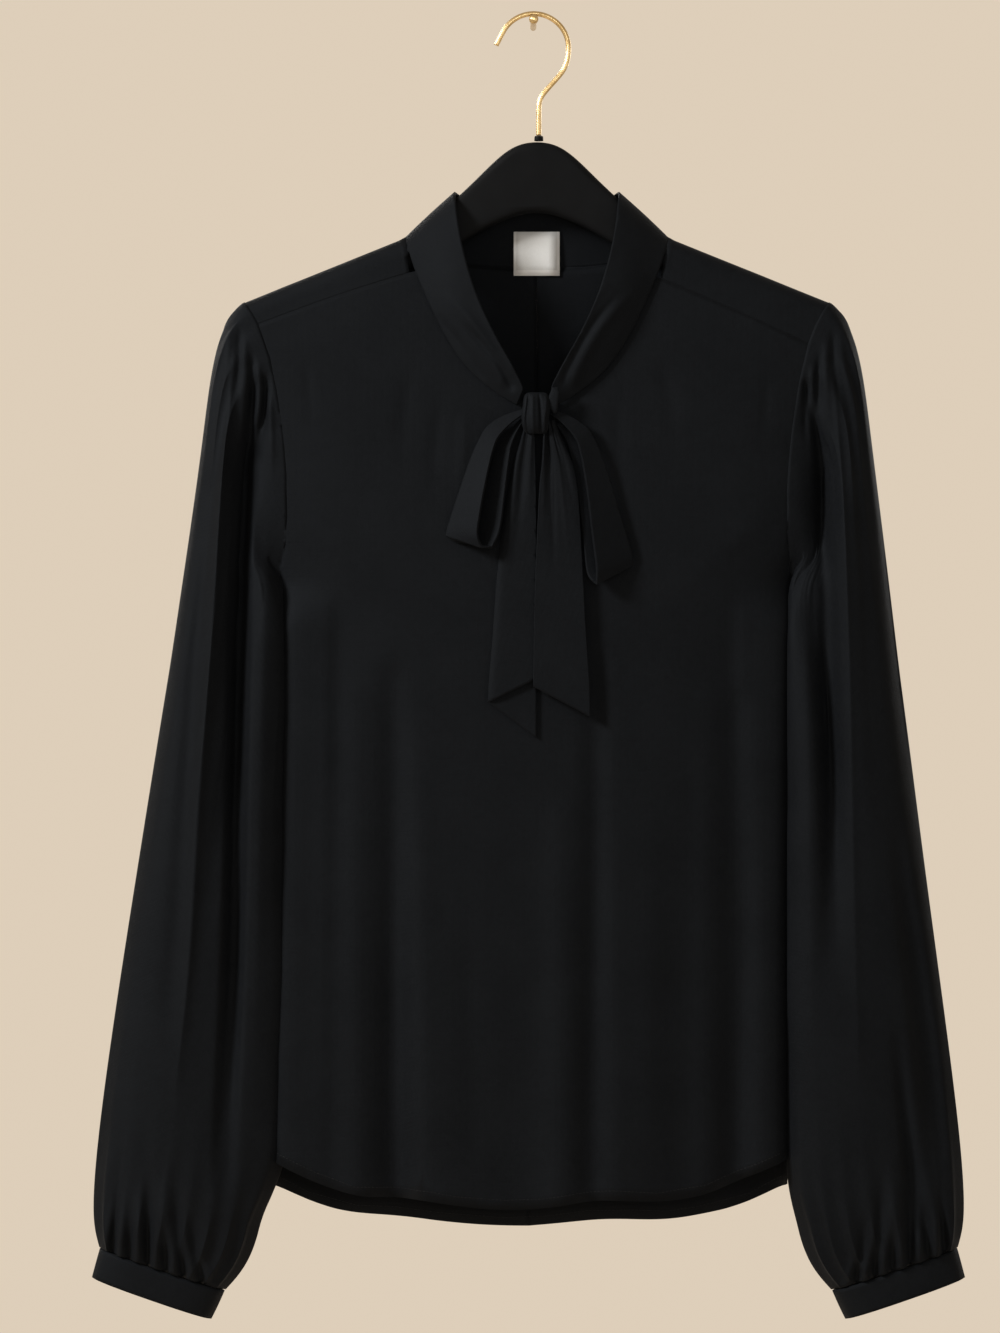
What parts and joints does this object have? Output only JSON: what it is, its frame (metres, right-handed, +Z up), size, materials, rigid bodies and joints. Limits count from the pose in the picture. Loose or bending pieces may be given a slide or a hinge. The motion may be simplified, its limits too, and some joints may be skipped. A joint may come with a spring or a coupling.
{
  "type": "tie neck blouse on a hanger",
  "caption": "Long-sleeved blouse with a tie collar knotted in a bow, full sleeves gathered into narrow cuffs and a curved hem, hanging flat on a shaped hanger from a wall peg",
  "frame": {"origin": "middle of the wall peg's end at the wall", "axes": "+Z up along the hanging garment, +Y into the wall, +X to the right as seen from in front"},
  "size_m": [0.6136, 0.0852, 0.9198],
  "materials": {
    "front": "black crepe with a low sheen",
    "back_left": "black crepe with a low sheen",
    "back_right": "black crepe with a low sheen",
    "sleeve_left": "black crepe with a low sheen",
    "sleeve_right": "black crepe with a low sheen",
    "cuff_left": "black crepe, double",
    "cuff_right": "black crepe, double",
    "tie_collar": "black crepe, double",
    "tie_knot": "black crepe, double",
    "tie_knot_tuck": "black crepe, double",
    "bow_left": "black crepe, double",
    "bow_right": "black crepe, double",
    "tail_left": "black crepe, double",
    "tail_right": "black crepe, double",
    "neck_label": "off-white woven label, bare",
    "hanger": "matte black",
    "hanger_ferrule": "matte black",
    "hook": "pale brass wire",
    "wall_peg": "pale brass"
  },
  "bodies": {
    "root": {"front": "front", "back_left": "back_left", "back_right": "back_right", "sleeve_left": "sleeve_left", "sleeve_right": "sleeve_right", "cuff_left": "cuff_left", "cuff_right": "cuff_right", "tie_collar": "tie_collar", "tie_knot": "tie_knot", "tie_knot_tuck": "tie_knot_tuck", "bow_left": "bow_left", "bow_right": "bow_right", "tail_left": "tail_left", "tail_right": "tail_right", "neck_label": "neck_label", "hanger": "hanger", "hanger_ferrule": "hanger_ferrule", "hook": "hook", "wall_peg": "wall_peg"}
  },
  "joints": []
}
